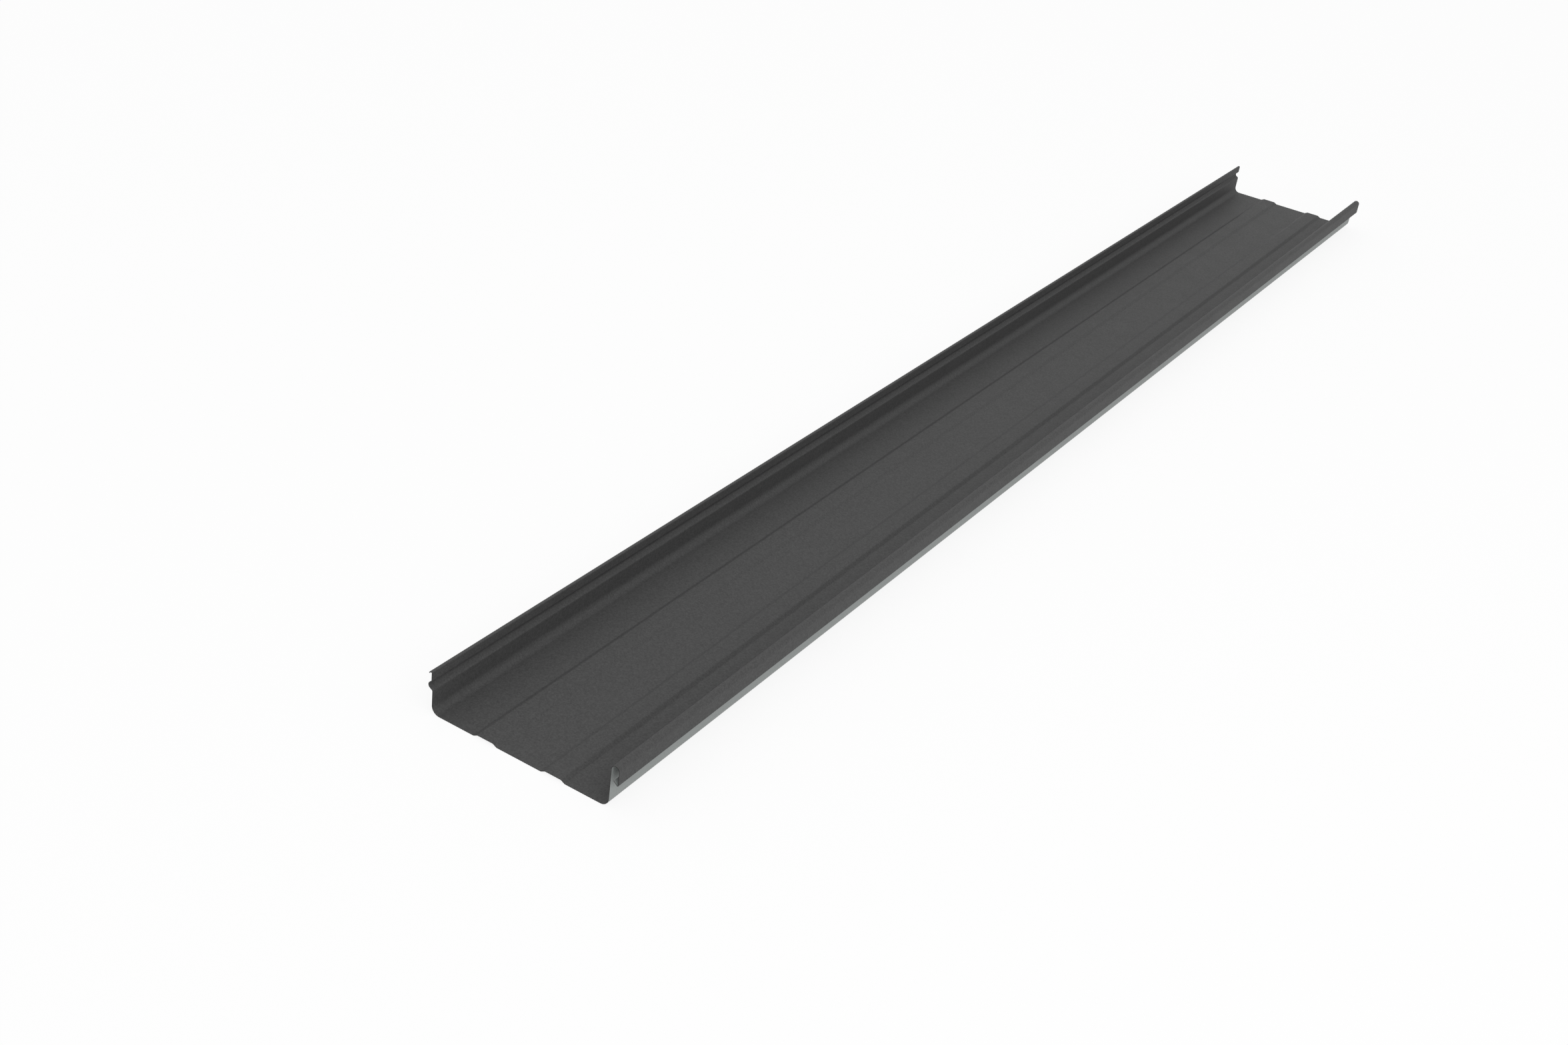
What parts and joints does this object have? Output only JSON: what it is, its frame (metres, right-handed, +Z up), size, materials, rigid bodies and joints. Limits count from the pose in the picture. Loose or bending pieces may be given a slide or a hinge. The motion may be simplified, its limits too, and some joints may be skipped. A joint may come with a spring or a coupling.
{
  "type": "standing seam roofing sheet",
  "caption": "Roll-formed metal roofing sheet: a long pan with two low flat stiffening ribs, a beaded male leg along one edge and a hooked female leg along the other.",
  "frame": {"origin": "underside of the pan, at the middle of the cover width and of the length", "axes": "+X across the sheet from the male leg to the hooked female leg, +Y along the sheet, +Z up, from the back of the pan to its painted face"},
  "size_m": [0.2115, 1.98, 0.0459],
  "materials": {
    "painted_sheet": "matte"
  },
  "bodies": {
    "root": {"roofing_sheet": "painted_sheet"}
  },
  "joints": []
}
